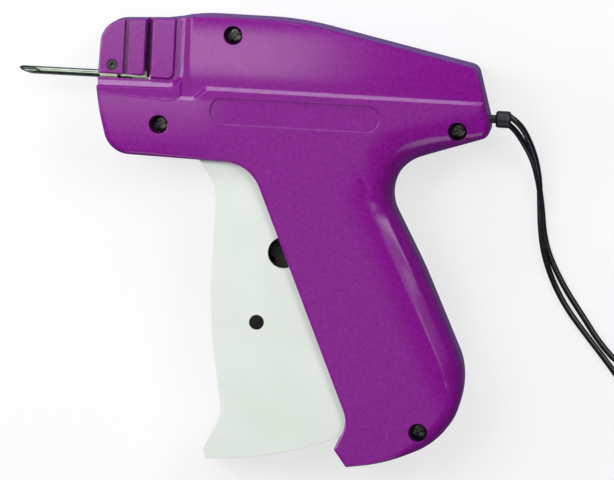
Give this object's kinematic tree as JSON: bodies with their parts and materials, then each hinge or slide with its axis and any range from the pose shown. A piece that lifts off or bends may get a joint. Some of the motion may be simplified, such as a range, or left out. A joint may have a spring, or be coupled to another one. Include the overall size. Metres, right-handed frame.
{
  "type": "garment tag attacher",
  "caption": "Hand-held gun that pushes plastic tag fasteners through a hollow needle: two-part housing, trigger, linkage, feed wheel and wrist strap.",
  "frame": {"origin": "the trigger pivot's axis in the plane of the right side face, which the gun rests on", "axes": "+X runs from the needle to the rear along the needle's axis, +Y from the handle up to the body, +Z from the right side up to the left side"},
  "size_m": [0.2349, 0.1465, 0.028],
  "materials": {
    "housing_purple": "satin moulded ABS",
    "trigger_white": "fine satin acetal",
    "black_plastic": "satin",
    "bright_steel": "ground and polished",
    "dark_steel": "blackened",
    "wheel_plastic": "natural acetal",
    "strap_black": "smooth, soft"
  },
  "bodies": {
    "housing": {"left_shell": "housing_purple", "right_shell": "housing_purple", "housing_screws": "dark_steel", "trigger_pivot_pin": "bright_steel", "arm_pivot_pin": "bright_steel", "rod_guide": "black_plastic", "return_spring": "bright_steel", "detent_leaf": "bright_steel", "cutter_blade": "bright_steel", "needle": "bright_steel", "needle_base": "bright_steel", "strap_anchor": "black_plastic", "strap_bead": "strap_black", "wrist_strap": "strap_black"},
    "trigger": {"trigger": "trigger_white", "drive_pin": "dark_steel", "drive_roller": "wheel_plastic", "feed_pawl": "bright_steel"},
    "arm": {"swing_arm": "black_plastic", "arm_head_pin": "bright_steel"},
    "slider": {"slider": "black_plastic", "push_rod": "bright_steel"},
    "feeder": {"feed_wheel": "wheel_plastic", "feed_shaft": "bright_steel"},
    "lock": {"lock_shaft": "dark_steel", "lock_lever": "black_plastic"}
  },
  "joints": [
    {"name": "trigger_pivot", "type": "hinge", "parent": "housing", "child": "trigger", "pos_m": [0, 0, 0.014], "axis": [0, 0, 1], "range_deg": [0, 20], "stiffness_Nm_per_rad": 5.4, "springref_deg": -10.6},
    {"name": "arm_pivot", "type": "hinge", "parent": "housing", "child": "arm", "pos_m": [0.03894, -0.03478, 0.014], "axis": [0, 0, 1], "range_deg": [0, 54]},
    {"name": "slider_slide", "type": "slide", "parent": "housing", "child": "slider", "axis": [-1, 0, 0], "range_m": [0, 0.0425], "deforming": ["return_spring"]},
    {"name": "feed_wheel_spin", "type": "hinge", "parent": "housing", "child": "feeder", "pos_m": [-0.0142, 0.02, 0.014], "axis": [0, 0, 1], "continuous": true},
    {"name": "needle_lock_turn", "type": "hinge", "parent": "housing", "child": "lock", "pos_m": [-0.0352, 0.0129, 0.014], "axis": [0, 0, 1], "range_deg": [0, 90]}
  ],
  "couplings": [
    {"joint": "arm_pivot", "follows": "trigger_pivot", "ratio": 2.7},
    {"joint": "slider_slide", "follows": "trigger_pivot", "m_per_rad": 0.12168}
  ]
}
